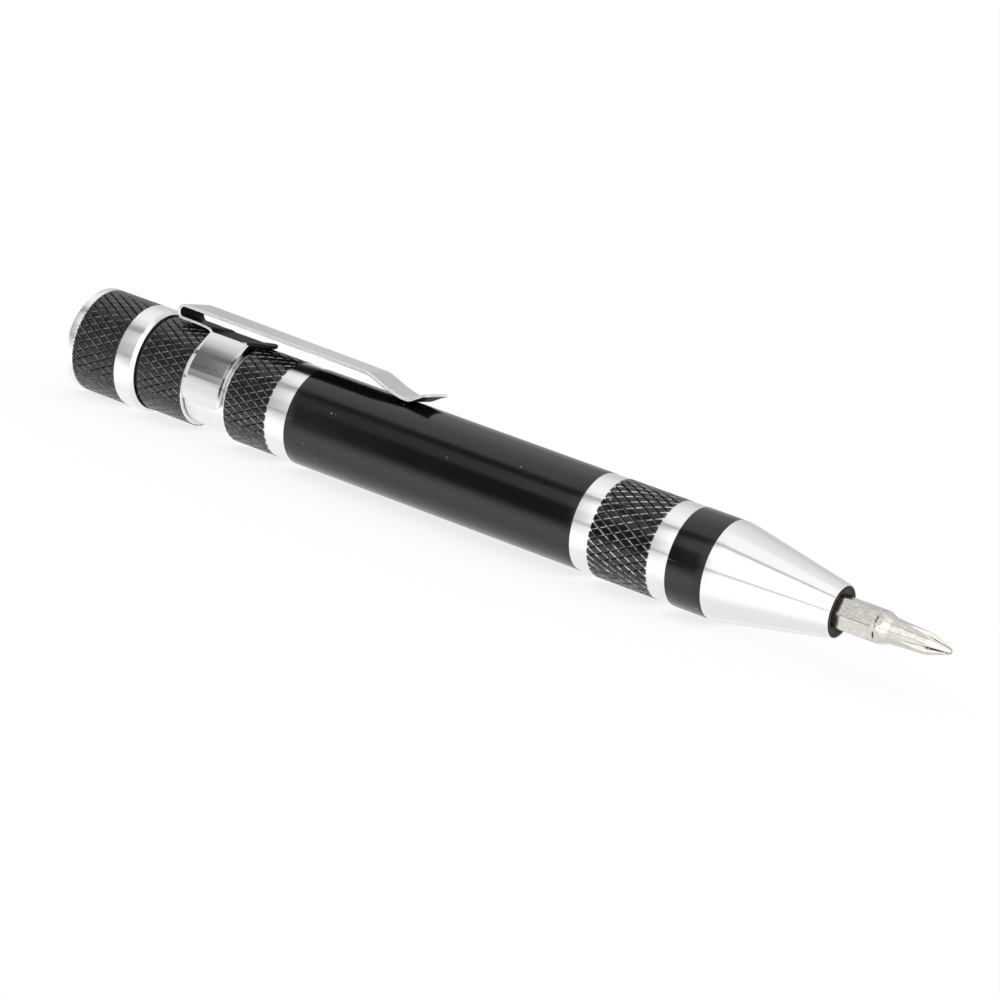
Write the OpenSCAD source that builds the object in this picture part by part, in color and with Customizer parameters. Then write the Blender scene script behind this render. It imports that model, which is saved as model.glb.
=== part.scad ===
// Pocket pen screwdriver with an interchangeable bit, a spring pocket clip, and a store of
// bits behind a screw cap. It lies along X, with the point of the bit at the origin,
// +X towards the point and +Z towards the clip. Millimetres.

/* [Bit] */
// Width of the hexagonal shank across its flats
bit_af = 4.0; // [3.8:0.1:5]
// Whole length of a bit
bit_len = 28; // [26:0.5:32]
// How far the bit in use stands out of the nose
bit_out = 15.2; // [13:0.2:18]
// From the point back to the full hexagon
blade_reach = 9.5; // [8.5:0.1:11]
// Length of the cone between the shaft and the hexagon
neck_len = 1.5; // [1:0.1:2]
// Radius of the shaft next to the neck
blade_root_r = 1.67; // [1.2:0.01:1.8]
// Radius of the shaft where the point starts
blade_front_r = 1.38; // [1:0.01:1.6]
// Length of the point
point_len = 3.0; // [2:0.1:4]
// Radius of the blunt end of the point
point_end_r = 0.36; // [0.2:0.01:0.5]
// Thickness of a wing at the blunt end
wing_t = 0.44; // [0.3:0.01:0.6]
// Length over which the four flutes run out
flute_run = 7.4; // [5:0.1:8]
// Turn of the four wings about the axis, in degrees
wing_turn = 68; // [0:1:90]
// Chamfer at the rear end of the shank
shank_chamfer = 0.35; // [0.2:0.05:0.6]

/* [Stored bits] */
// Shaft radius of the smallest cross bit
cross_a_r = 0.85; // [0.7:0.05:1.2]
// Shaft radius of the second cross bit
cross_b_r = 1.2; // [0.9:0.05:1.5]
// Shaft radius of the largest cross bit
cross_c_r = 1.8; // [1.4:0.05:1.9]
// Blade width of the smallest flat bit
flat_a_w = 1.5; // [1:0.1:2]
// Blade width of the second flat bit
flat_b_w = 2.0; // [1.5:0.1:2.8]
// Blade width of the largest flat bit
flat_c_w = 3.0; // [2:0.1:3.6]
// Width over the lobes of the smallest star bit
star_a_w = 1.42; // [1.2:0.01:1.8]
// Width over the lobes of the second star bit
star_b_w = 1.70; // [1.4:0.01:2.2]
// Width over the lobes of the largest star bit
star_c_w = 2.31; // [1.8:0.01:3]

/* [Nose] */
// Wall of the socket sleeve at the corners of its hexagon
socket_wall = 0.95; // [0.7:0.05:1.2]
// Thin metal lip round the sleeve at the mouth
mouth_lip = 0.15; // [0.1:0.01:0.4]
// Length of the bright cone
cone_len = 16.25; // [15.5:0.05:20]
// Length from the start of the cone to the corner that its rounding replaces
cone_round = 0.8; // [0.3:0.1:2]
// Length of the plug that is pressed in the front of the tube
nose_press_len = 8.43; // [6:0.01:12]
// Length of the black band next to the cone
nose_band_len = 5.2; // [4:0.1:8]
// Chamfer inside the mouth of the sleeve
mouth_chamfer = 0.3; // [0.1:0.05:0.4]
// Diameter of the magnet behind the bit
magnet_d = 4.0; // [3:0.1:4.05]
// Length of the magnet behind the bit
magnet_len = 2.0; // [1:0.1:3]

/* [Barrel] */
// Wall of the tube
barrel_wall = 1.45; // [1.3:0.05:2]
// Step of the bright bands below the tube's surface
band_step = 0.05; // [0.02:0.01:0.1]
// Length of the bright band in front of the front knurl
front_band_len = 2.74; // [2:0.02:4]
// Length of the front knurl
front_knurl_len = 8.7; // [6:0.1:11]
// Length of the bright band behind the front knurl
middle_band_len = 2.68; // [2:0.02:4]
// Length of the bright band in front of the rear knurl
rear_band_len = 3.17; // [2:0.01:4]
// Length of the rear knurl in front of the clip's groove
fore_knurl_len = 6.7; // [5:0.1:9]
// Length of the clip's groove at the surface
groove_len = 7.2; // [6.5:0.1:9]
// Depth of the clip's groove
groove_depth = 0.65; // [0.5:0.05:0.8]
// Chamfer on the front edge of the groove
groove_chamfer = 0.5; // [0.3:0.05:0.5]
// Chamfer on the rear edge of the groove
groove_rear_chamfer = 0.35; // [0.2:0.05:0.45]
// Length of the rear knurl behind the groove
aft_knurl_len = 7.35; // [6:0.05:10]
// Wall of the threaded spigot
thread_wall = 0.75; // [0.6:0.05:0.9]
// Length of the threaded spigot behind the shoulder
thread_len = 7.5; // [6:0.1:8]
// Chamfer on the end of the spigot
thread_chamfer = 0.3; // [0.1:0.05:0.5]

/* [Cap] */
// How far the cap stands proud of the tube
cap_proud = 0.57; // [0.45:0.01:1.2]
// Gap between the tube and the cap
cap_gap = 0.45; // [0.3:0.05:0.8]
// Length of the bevel on the front of the cap
cap_bevel_len = 0.45; // [0.2:0.05:0.8]
// Height of the bevel on the front of the cap
cap_bevel = 0.42; // [0.2:0.02:0.5]
// Length of the bright band on the cap
cap_band_len = 2.58; // [2:0.02:4]
// Length of the cap's knurl
cap_knurl_len = 7.16; // [6.5:0.02:10]
// Length of the bright ring at the end of the cap
cap_ring_len = 1.31; // [0.8:0.01:2]
// Rounding of the cap's end
cap_round = 0.45; // [0.2:0.05:0.7]
// Thickness of the cap's end wall
cap_end_wall = 1.6; // [1.2:0.1:2]
// Thickness of the soft disc in the cap
pad_t = 0.8; // [0.5:0.1:1.2]
// Width of the flat seal between the tube and the cap
seal_w = 0.45; // [0.3:0.05:0.6]

/* [Clip] */
// Thickness of the clip's sheet
clip_t = 0.5; // [0.4:0.05:0.55]
// Width of the clip
clip_w = 5.8; // [4:0.1:7]
// Outer radius of the bend at the rear of the clip
clip_bend_r = 1.04; // [0.9:0.02:1.4]
// From the rear wall of the groove to the centre of the bend
clip_leg_len = 4.8; // [3.5:0.1:6]
// From the centre of the bend to the place that touches the tube
clip_arm_len = 36.5; // [30:0.5:42]
// Fall of the arm's straight stretch towards the front
clip_arm_fall = 0.28; // [0:0.02:0.5]
// Length of the curve that brings the arm down to the tube
clip_drop_len = 7.5; // [5:0.1:10]
// Length of the lip that is turned up at the front
clip_lip_len = 2.8; // [2:0.1:4]
// Rise of the lip
clip_lip_rise = 1.46; // [0.8:0.02:2]
// Length of the round tongue in front of the strap
tongue_len = 2.45; // [1.5:0.05:3]
// Height of the tongue's end above the tube
tongue_gap = 0.22; // [0.15:0.01:0.5]
// Half angle that the strap goes round the tube, in degrees
strap_angle = 114; // [100:1:130]
// Width of the flat on top of the strap, as a share of the clip's width
strap_flat_share = 1; // [0.7:0.05:1]
// Rounding of the strap's corners
strap_corner_r = 1.5; // [0.5:0.1:2.5]

/* [Carrier] */
// Thickness of the three webs
web_t = 0.5; // [0.4:0.05:0.8]
// Thickness of the discs at the ends and between the cells
disc_t = 0.8; // [0.6:0.1:1.2]
// Radius of the knob at the rear
knob_r = 2.0; // [1.5:0.1:3]
// Length of the knob at the rear
knob_len = 1.2; // [0.8:0.1:1.5]
// Radius of the dimple in the knob's end
knob_dimple_r = 1.0; // [0.5:0.1:1.2]

/* [Fits] */
// Clearance round the shank in its socket, across the flats
socket_clear = 0.06; // [0.04:0.01:0.1]
// Clearance of a stored bit against a web
cell_clear = 0.05; // [0.03:0.01:0.1]
// Length that each cell has to spare
cell_spare = 0.3; // [0.2:0.05:0.6]
// Clearance between the stored bits and the bore
store_clear = 0.085; // [0.05:0.005:0.15]
// Clearance between the carrier's discs and the bore
carrier_clear = 0.1; // [0.05:0.01:0.15]
// Clearance of the thread
thread_clear = 0.08; // [0.05:0.01:0.1]
// Clearance of what is pressed or seated
press_clear = 0.01; // [0.005:0.005:0.02]
// Clearance of the strap on the floor of the groove
strap_clear = 0.1; // [0.05:0.01:0.1]
// Gap between the strap and the rear wall of the groove
strap_rear_gap = 0.15; // [0.1:0.05:0.3]
// Gap between the strap and the front wall of the groove
strap_front_gap = 0.45; // [0.3:0.05:0.6]
// Gap between the clip's leg and the tube
clip_leg_gap = 0.3; // [0.2:0.05:0.5]
// Gap between the clip's arm and the tube at rest
clip_touch_gap = 0.1; // [0.05:0.01:0.2]
// Gap between the two halves of the clip at the bend
clip_cut_gap = 0.02; // [0.01:0.01:0.05]
// End play of the carrier, the magnet and the soft disc
end_play = 0.1; // [0.05:0.01:0.2]

/* [Hidden] */
$fn = 96;
// Overrun of every cut past the surface that it opens
over = 1;
cells_round = 3;
cells_along = 3;
hex_r = bit_af / sqrt(3);
hex_flat_turn = 30;

// Each share is of the shaft's radius, or of the width over a blade or over the lobes
front_share = 0.82;
end_share = 0.22;
wing_share = 0.26;
run_share = 4.4;
point_share = 1.8;
flat_t_share = 0.18;
flat_run_share = 2.6;
star_len_share = 1.5;
star_shaft_share = 0.62;
star_notch_share = 0.13;
star_root_share = 0.37;

// The store in the bore sets the bore, the tube and the thread
cell_r = (bit_af + 2 * cell_clear + web_t) / sqrt(3);
bore_r = cell_r + hex_r + store_clear;
barrel_r = bore_r + barrel_wall;
band_r = barrel_r - band_step;
floor_r = barrel_r - groove_depth;
thread_r = bore_r + thread_wall;
cap_r = barrel_r + cap_proud;
cap_bore_r = thread_r + thread_clear;
socket_r = (bit_af + socket_clear) / sqrt(3) + socket_wall;
nose_bore_r = socket_r + press_clear;
mouth_r = nose_bore_r + mouth_lip;
cell_len = bit_len + cell_spare;
carrier_len = cells_along * cell_len + (cells_along + 1) * disc_t;
carrier_r = bore_r - carrier_clear;

// Places along the axis, from the point backwards
x_mouth = -bit_out;
x_cone = x_mouth - cone_len;
x_nose_band = x_cone - nose_band_len;
x_front_band = x_nose_band - front_band_len;
x_front_knurl = x_front_band - front_knurl_len;
x_middle_band = x_front_knurl - middle_band_len;
x_plug = x_cone - nose_press_len;
x_carrier = x_plug - end_play;
x_carrier_end = x_carrier - carrier_len;
x_knob_end = x_carrier_end - knob_len;
x_pad = x_knob_end - end_play;
x_cap_inside = x_pad - pad_t - end_play / 5;
x_cap_end = x_cap_inside - cap_end_wall;
x_cap_ring = x_cap_end + cap_ring_len;
x_cap_knurl = x_cap_ring + cap_knurl_len;
x_cap_band = x_cap_knurl + cap_band_len;
x_cap = x_cap_band + cap_bevel_len;
x_shoulder = x_cap + cap_gap;
x_aft_knurl = x_shoulder + aft_knurl_len;
x_groove = x_aft_knurl + groove_len;
x_fore_knurl = x_groove + fore_knurl_len;
x_rear_band = x_fore_knurl + rear_band_len;
x_thread_end = x_shoulder - thread_len;
x_magnet = -bit_len - end_play / 2;
x_magnet_end = x_magnet - magnet_len;
x_nose_bottom = x_magnet_end - end_play / 5;

// The clip's places
strap_inner_r = floor_r + strap_clear;
strap_outer_r = strap_inner_r + clip_t;
x_strap = x_aft_knurl + strap_rear_gap;
x_strap_front = x_groove - groove_chamfer - strap_front_gap;
x_bend = x_aft_knurl - clip_leg_len;
z_leg = barrel_r + clip_leg_gap;
z_bend = z_leg + clip_bend_r;
z_arm_rear = z_bend + clip_bend_r - clip_t;
z_arm_front = z_arm_rear - clip_arm_fall;
z_touch = barrel_r + clip_touch_gap;
x_touch = x_bend + clip_arm_len;

// The arm's drop and lip, as shares of their length and height, and the leg's climb
drop_shares = [[0, 0], [0.06, 0.035], [0.17, 0.17], [0.44, 0.57], [0.59, 0.75], [0.78, 0.93], [0.92, 1]];
lip_shares = [[0.08, 0.03], [0.22, 0.13], [0.43, 0.35], [1, 1]];
leg_shares = [[-0.2, 0], [-0.12, 0.03], [0, 0.42], [0.1, 0.77], [0.2, 0.87], [0.39, 0.95], [0.64, 1], [1, 1]];
tongue_shares = [[-0.24, 0], [-0.1, 0.04], [0, 0.17], [0.2, 0.52], [0.39, 0.84], [0.7, 0.96], [1, 1]];

// A path with its points moved sideways by t, to the left of its direction
function along(path, i) = path[min(i + 1, len(path) - 1)] - path[max(i - 1, 0)];
function left_of(v) = [-v[1], v[0]] / norm(v);
function beside(path, t) = [for (i = [0 : len(path) - 1]) path[i] + t * left_of(along(path, i))];
function backwards(path) = [for (i = [len(path) - 1 : -1 : 0]) path[i]];
function strip(path, t) = concat(path, backwards(beside(path, t)));

// The cone's profile: an arc that leaves the tube, then a straight flank
cone_angle = atan((barrel_r - mouth_r) / (cone_len - cone_round));
cone_arc_r = cone_round / tan(cone_angle / 2);
function cone_arc(steps) = [for (i = [0 : steps])
    let (a = cone_angle * i / steps)
    [barrel_r - cone_arc_r * (1 - cos(a)), x_cone + cone_arc_r * sin(a)]];

// Turns what stands along Z so that it lies along X
module along_x() {
    rotate([0, 90, 0]) children();
}

// A turned piece, from points that each give a radius and a place along the axis
module turned(profile) {
    along_x() rotate_extrude() polygon(profile);
}

// A sheet of the clip's width, from its outline in the plane of X and Z
module sheet(outline) {
    rotate([90, 0, 0]) linear_extrude(clip_w, center = true) polygon(outline);
}

// The tube: bands, knurls at their crests, groove for the clip, spigot for the cap
module barrel() {
    color("#1d1d20") turned([
        [bore_r, x_cone],
        [barrel_r, x_cone],
        [barrel_r, x_nose_band],
        [band_r, x_nose_band],
        [band_r, x_front_band],
        [barrel_r, x_front_band],
        [barrel_r, x_front_knurl],
        [band_r, x_front_knurl],
        [band_r, x_middle_band],
        [barrel_r, x_middle_band],
        [barrel_r, x_rear_band],
        [band_r, x_rear_band],
        [band_r, x_fore_knurl],
        [barrel_r, x_fore_knurl],
        [barrel_r, x_groove],
        [barrel_r - groove_chamfer, x_groove - groove_chamfer],
        [floor_r, x_groove - groove_chamfer],
        [floor_r, x_aft_knurl],
        [barrel_r - groove_rear_chamfer, x_aft_knurl],
        [barrel_r, x_aft_knurl - groove_rear_chamfer],
        [barrel_r, x_shoulder],
        [thread_r, x_shoulder],
        [thread_r, x_thread_end + thread_chamfer],
        [thread_r - thread_chamfer, x_thread_end],
        [bore_r, x_thread_end]]);
}

// The bright nose: a cone outside, a plug pressed in the tube, and a blind bore in front
module nose_cone() {
    plug_r = bore_r - press_clear;
    color("#d9dadc") turned(concat(
        [[0, x_plug], [plug_r, x_plug], [plug_r, x_cone]],
        cone_arc(4),
        [[mouth_r, x_mouth], [nose_bore_r, x_mouth], [nose_bore_r, x_nose_bottom],
            [0, x_nose_bottom]]));
}

// The black sleeve that takes the bit's shank
module bit_socket() {
    hole_r = (bit_af + socket_clear) / sqrt(3);
    back = x_nose_bottom + press_clear;
    color("#161617") difference() {
        turned([[0, back], [socket_r, back], [socket_r, x_mouth], [0, x_mouth]]);
        along_x() translate([0, 0, back - over]) rotate([0, 0, hex_flat_turn])
            cylinder(h = x_mouth - back + 2 * over, r = hole_r, $fn = 6);
        turned([
            [0, x_mouth - mouth_chamfer],
            [hole_r - mouth_chamfer, x_mouth - mouth_chamfer],
            [hole_r + mouth_chamfer, x_mouth + mouth_chamfer],
            [0, x_mouth + mouth_chamfer]]);
    }
}

// The magnet that holds the shank
module socket_magnet() {
    color("#8d8f92") along_x() translate([0, 0, x_magnet_end])
        cylinder(h = magnet_len, r = magnet_d / 2);
}

// A bit before its point is cut: hexagon, neck and shaft, its end at the origin, along Z
module blank(root_r, front_r, end_r, point) {
    intersection() {
        rotate_extrude() polygon([
            [0, -bit_len],
            [hex_r - shank_chamfer, -bit_len],
            [hex_r + neck_len / 10, shank_chamfer - bit_len],
            [hex_r + neck_len / 10, -blade_reach],
            [root_r, neck_len - blade_reach],
            [front_r, -point],
            [end_r, 0],
            [0, 0]]);
        translate([0, 0, -bit_len - over]) rotate([0, 0, hex_flat_turn])
            cylinder(h = bit_len + 2 * over, r = hex_r, $fn = 6);
    }
}

// A bit with a cross point: four flutes leave four wings
module cross_bit(root_r, front_r, end_r, point, wing, run, turn) {
    core_r = wing / sqrt(2);
    tilt = atan((root_r - core_r) / run);
    difference() {
        blank(root_r, front_r, end_r, point);
        for (i = [0 : 3])
            rotate([0, 0, turn + 45 + 90 * i]) translate([core_r, 0, 0]) rotate([0, -tilt, 0])
                translate([0, 0, -2 * run]) linear_extrude(2 * run + over)
                    polygon([[0, 0], [2 * root_r, 2 * root_r], [2 * root_r, -2 * root_r]]);
    }
}

// A stored cross bit, with its sizes as shares of its shaft
module small_cross_bit(shaft_r) {
    cross_bit(shaft_r, front_share * shaft_r, end_share * shaft_r, point_share * shaft_r,
        wing_share * shaft_r, run_share * shaft_r, 0);
}

// A stored bit with a flat blade that thins to its edge
module flat_bit(width) {
    edge = flat_t_share * width / 2;
    run = flat_run_share * width;
    back = hex_r + over;
    intersection() {
        blank(width / 2, width / 2, width / 2, width);
        rotate([90, 0, 0]) linear_extrude(2 * back, center = true) polygon([
            [edge, 0], [width / 2, -run], [back, -blade_reach], [back, -bit_len - over],
            [-back, -bit_len - over], [-back, -blade_reach], [-width / 2, -run], [-edge, 0]]);
    }
}

// A stored bit with a six-lobed point
module star_bit(width) {
    star_len = star_len_share * width;
    shaft_r = star_shaft_share * width;
    notch_r = star_notch_share * width;
    difference() {
        blank(shaft_r, shaft_r, shaft_r, width);
        translate([0, 0, -star_len]) linear_extrude(star_len + over) difference() {
            circle(r = hex_r);
            difference() {
                circle(r = width / 2);
                for (i = [0 : 5])
                    rotate([0, 0, 60 * i]) translate([star_root_share * width + notch_r, 0])
                        circle(r = notch_r);
            }
        }
    }
}

// The bit in use, in the nose
module bit_cross_0() {
    color("#c9c6bf") along_x() cross_bit(blade_root_r, blade_front_r, point_end_r, point_len,
        wing_t, flute_run, wing_turn);
}

// Puts a bit in a cell of the carrier, by its column round the axis and its row from the front
module in_cell(column, row) {
    front = x_carrier - disc_t - row * (cell_len + disc_t) - cell_spare / 2;
    color("#c2c3c4") along_x() rotate([0, 0, 180 + 360 / cells_round * column])
        translate([cell_r, 0, front]) rotate([0, 0, hex_flat_turn]) children();
}

module bit_cross_000() {
    in_cell(0, 0) small_cross_bit(cross_a_r);
}

module bit_cross_00() {
    in_cell(0, 1) small_cross_bit(cross_b_r);
}

module bit_cross_1() {
    in_cell(0, 2) small_cross_bit(cross_c_r);
}

module bit_flat_1_5() {
    in_cell(1, 0) flat_bit(flat_a_w);
}

module bit_flat_2_0() {
    in_cell(1, 1) flat_bit(flat_b_w);
}

module bit_flat_3_0() {
    in_cell(1, 2) flat_bit(flat_c_w);
}

module bit_star_5() {
    in_cell(2, 0) star_bit(star_a_w);
}

module bit_star_6() {
    in_cell(2, 1) star_bit(star_b_w);
}

module bit_star_8() {
    in_cell(2, 2) star_bit(star_c_w);
}

// The carrier: three webs, a disc at each end and between the cells, and a knob to pull
module bit_carrier() {
    color("#3a3b3d") along_x() translate([0, 0, x_carrier_end]) {
        for (i = [0 : cells_round - 1])
            rotate([0, 0, 360 / cells_round * i]) translate([0, -web_t / 2, 0])
                cube([carrier_r - web_t / 4, web_t, carrier_len]);
        for (i = [0 : cells_along])
            translate([0, 0, i * (cell_len + disc_t)]) cylinder(h = disc_t, r = carrier_r);
        translate([0, 0, -knob_len]) difference() {
            cylinder(h = knob_len + disc_t / 2, r = knob_r);
            translate([0, 0, -over]) cylinder(h = over + knob_len / 2, r = knob_dimple_r);
        }
    }
}

// The screw cap: a shell with a rounded end and a bevelled front
module rear_cap() {
    front_r = cap_r - cap_bevel;
    color("#232326") difference() {
        turned(concat(
            [[0, x_cap_end]],
            [for (i = [0 : 4]) let (a = 90 * i / 4)
                [cap_r - cap_round * (1 - sin(a)), x_cap_end + cap_round * (1 - cos(a))]],
            [[cap_r, x_cap_band], [front_r, x_cap], [0, x_cap]]));
        turned([
            [0, x_cap_inside],
            [cap_bore_r, x_cap_inside],
            [cap_bore_r, x_cap + over],
            [0, x_cap + over]]);
    }
}

// The flat seal on the spigot, against the shoulder
module cap_seal() {
    inner_r = thread_r + press_clear;
    front = x_shoulder - press_clear;
    back = x_cap + end_play / 2;
    color("#0f0f10") turned([
        [inner_r, back], [inner_r + seal_w, back], [inner_r + seal_w, front], [inner_r, front]]);
}

// The soft disc in the end of the cap, which keeps the carrier from rattling
module cap_pad() {
    color("#2e2f31") along_x() translate([0, 0, x_pad - pad_t])
        cylinder(h = pad_t, r = thread_r - thread_chamfer);
}

// The strap's section across the axis: a circle with a flat on the clip's side
module strap_disc(r) {
    flat = strap_flat_share * clip_w / 2 * r / strap_outer_r;
    reach = norm([flat, r]);
    side = atan(flat / r) + acos(r / reach);
    circle(r = r);
    polygon([[0, 0], [r * cos(90 - side), r * sin(90 - side)], [flat, r], [-flat, r],
        [-r * cos(90 - side), r * sin(90 - side)]]);
}

// Removes a rounded corner from the strap's end, cutting along the radius
module strap_corner() {
    span = strap_corner_r + over;
    rotate([0, 90, 0]) linear_extrude(strap_outer_r + over) difference() {
        translate([-over, -over]) square([span, span]);
        translate([strap_corner_r, strap_corner_r]) circle(r = strap_corner_r);
    }
}

// The strap that holds the clip in its groove
module strap() {
    length = x_strap_front - x_strap;
    open = 180 - strap_angle;
    reach = 2 * strap_outer_r;
    difference() {
        translate([x_strap, 0, 0]) rotate([90, 0, 90]) linear_extrude(length) difference() {
            strap_disc(strap_outer_r);
            strap_disc(strap_inner_r);
            polygon([[0, 0], [reach * sin(open), -reach * cos(open)],
                [reach * sin(open), -2 * reach], [-reach * sin(open), -2 * reach],
                [-reach * sin(open), -reach * cos(open)]]);
        }
        for (side = [0, 1])
            mirror([0, side, 0]) for (end = [0, 1])
                translate([x_strap + end * length, 0, 0]) mirror([end, 0, 0])
                    rotate([strap_angle - 90, 0, 0]) rotate([0, 0, -90]) mirror([0, 0, 1])
                        strap_corner();
    }
}

// A quarter of the bend: the lower one for side = -1, the upper one for side = 1
module bend_quarter(side) {
    intersection() {
        translate([x_bend, 0, z_bend]) rotate([90, 0, 0]) difference() {
            cylinder(h = clip_w, r = clip_bend_r, center = true);
            cylinder(h = clip_w + over, r = clip_bend_r - clip_t, center = true);
        }
        translate([x_bend - clip_bend_r - over, -clip_w, side > 0 ? z_bend + clip_cut_gap / 2
                : z_bend - clip_cut_gap / 2 - 2 * clip_bend_r])
            cube([clip_bend_r + over, 2 * clip_w, 2 * clip_bend_r]);
    }
}

// The clip up to its bend: strap, leg to the rear, round tongue to the front
module clip_band() {
    leg = [for (p = backwards(leg_shares))
        [x_strap + (x_bend - x_strap) * p[0], strap_inner_r + (z_leg - strap_inner_r) * p[1]]];
    tongue_rise = barrel_r + tongue_gap - strap_inner_r;
    tongue = [for (p = tongue_shares)
        [x_strap_front + tongue_len * p[0], strap_inner_r + tongue_rise * p[1]]];
    x_tongue = x_strap_front + tongue_len - clip_w / 2;
    color("#c8cacc") union() {
        strap();
        sheet(strip(leg, clip_t));
        bend_quarter(-1);
        intersection() {
            sheet(strip(tongue, clip_t));
            union() {
                translate([x_tongue, 0, 0]) cylinder(h = 2 * z_bend, r = clip_w / 2);
                translate([x_strap, -clip_w / 2, 0])
                    cube([x_tongue - x_strap, clip_w, 2 * z_bend]);
            }
        }
    }
}

// The springy rest of the clip: upper bend, long arm, drop to the tube, and lip
module clip_arm() {
    x_drop = x_touch - clip_drop_len;
    arm = concat(
        [[x_bend, z_arm_rear], [x_bend + clip_t, z_arm_rear]],
        [for (p = drop_shares)
            [x_drop + clip_drop_len * p[0], z_arm_front - (z_arm_front - z_touch) * p[1]]],
        [for (p = lip_shares)
            [x_touch + clip_lip_len * p[0], z_touch + clip_lip_rise * p[1]]]);
    color("#d2d4d6") union() {
        bend_quarter(1);
        sheet(strip(arm, clip_t));
    }
}

barrel();
nose_cone();
bit_socket();
socket_magnet();
bit_cross_0();
clip_band();
clip_arm();
rear_cap();
cap_seal();
cap_pad();
bit_carrier();
bit_cross_000();
bit_cross_00();
bit_cross_1();
bit_flat_1_5();
bit_flat_2_0();
bit_flat_3_0();
bit_star_5();
bit_star_6();
bit_star_8();
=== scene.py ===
import math

import bmesh
import bpy
import numpy as np
from mathutils import Matrix


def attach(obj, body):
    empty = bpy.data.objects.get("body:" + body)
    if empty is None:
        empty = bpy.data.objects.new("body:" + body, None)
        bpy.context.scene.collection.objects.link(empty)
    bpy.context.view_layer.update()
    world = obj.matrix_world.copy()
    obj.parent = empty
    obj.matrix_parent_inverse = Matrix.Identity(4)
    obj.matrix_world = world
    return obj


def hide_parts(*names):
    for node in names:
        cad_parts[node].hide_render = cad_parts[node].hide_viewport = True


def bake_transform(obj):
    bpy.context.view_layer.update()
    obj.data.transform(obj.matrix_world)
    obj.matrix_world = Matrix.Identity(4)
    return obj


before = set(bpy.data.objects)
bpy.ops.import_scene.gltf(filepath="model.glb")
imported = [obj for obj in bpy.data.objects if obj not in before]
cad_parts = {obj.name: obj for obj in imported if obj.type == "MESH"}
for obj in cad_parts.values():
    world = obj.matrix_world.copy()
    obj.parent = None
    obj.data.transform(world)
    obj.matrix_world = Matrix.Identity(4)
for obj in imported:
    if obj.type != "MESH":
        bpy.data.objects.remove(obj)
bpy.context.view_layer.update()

# Driving dimensions. Lengths are in millimetres, and MM turns them into metres. X is 0 at the
# point of the bit and falls towards the cap, and the pen's axis lies at Y 0 and Z 0.

MM = 0.001

# Radii
BORE = 5.05
TUBE = 6.5
BAND = TUBE - 0.05
GROOVE_FLOOR = TUBE - 0.65
THREAD = BORE + 0.75
CAP = TUBE + 0.57
CAP_BORE = THREAD + 0.08
PAD_RADIUS = 5.5
MAGNET_RADIUS = 2.0
SOCKET = 3.294
NOSE_BORE = SOCKET + 0.01
MOUTH_RADIUS = NOSE_BORE + 0.15

# Hexagons, across their flats
BIT_FLATS = 4.0
HOLE_FLATS = BIT_FLATS + 0.06

# Places along the pen: the nose and the front of the barrel, from the mouth of the nose back
CONE_LENGTH = 16.25
CONE_ROUND = 0.8
MOUTH = -15.2
CONE_END = MOUTH - CONE_LENGTH
FRONT_BAND = CONE_END - 5.2
FRONT_KNURL = FRONT_BAND - 2.74
MIDDLE_BAND = FRONT_KNURL - 8.7
PLAIN_TUBE = MIDDLE_BAND - 2.68
PLUG_END = CONE_END - 8.43
BIT_END = -28.0
MAGNET_FRONT = BIT_END - 0.05
MAGNET_BACK = MAGNET_FRONT - 2.0
NOSE_BOTTOM = MAGNET_BACK - 0.02

# Places along the pen: the cap and the back of the barrel, from the end of the cap forwards
CAP_END = -131.8
CAP_INSIDE = CAP_END + 1.6
PAD_FRONT = CAP_INSIDE + 0.82
PAD_BACK = PAD_FRONT - 0.8
CAP_RING = CAP_END + 1.31
CAP_KNURL = CAP_RING + 7.16
CAP_BAND = CAP_KNURL + 2.58
CAP_FRONT = CAP_BAND + 0.45
SHOULDER = CAP_FRONT + 0.45
THREAD_END = SHOULDER - 7.5
AFT_KNURL = SHOULDER + 7.35
GROOVE = AFT_KNURL + 7.2
FORE_KNURL = GROOVE + 6.7
REAR_BAND = FORE_KNURL + 3.17

# The clip
SHEET = 0.42
STRAP_THICK = 0.5
CLIP_HALF = 2.9
CLIP_TIP_HALF = 2.62
STRAP_INNER = GROOVE_FLOOR + 0.1
STRAP_OUTER = STRAP_INNER + STRAP_THICK
STRAP_BACK = AFT_KNURL + 0.15
BEND = STRAP_BACK - 4.95
BEND_RADIUS = 1.04
LEG_LOW = TUBE + 0.3
ARM_TOP = LEG_LOW + 2 * BEND_RADIUS
TOUCH = BEND + 36.5
TOUCH_TOP = TUBE + 0.06 + SHEET

# The knurls: crossing grooves, cut on a grid of columns round the pen and rows along it
PER_START = 12      # columns from one groove to the next
BARREL_STARTS = 36
CAP_STARTS = 39
KNURL_LEAD = 2.12   # length of one diamond along the axis
KNURL_DEPTH = 0.16
SECOND_SHARE = 0.8  # the other set of grooves is a little less deep
GROOVE_SHARES = (1, 0.5, 0, 0, 0, 0, 0)                 # depth of a groove, from its middle out
WALL_SHARES = (0.5, 1, 0.5, 0, 0, 0, 0, 0, 0, 0, 0, 0)  # where its front-facing wall is


# Materials

CHROME = (0.68, 0.685, 0.695)


def opaque(colour, share=1.0):
    """A colour with its alpha, made darker or paler by a share."""
    return (*[c * share for c in colour], 1)


def material(name, colour, rough, metal):
    mat = bpy.data.materials.new(name)
    mat.use_nodes = True
    mat.diffuse_color = opaque(colour)
    shader = mat.node_tree.nodes["Principled BSDF"]
    shader.inputs["Base Color"].default_value = opaque(colour)
    shader.inputs["Roughness"].default_value = rough
    shader.inputs["Metallic"].default_value = metal
    return mat


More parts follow.
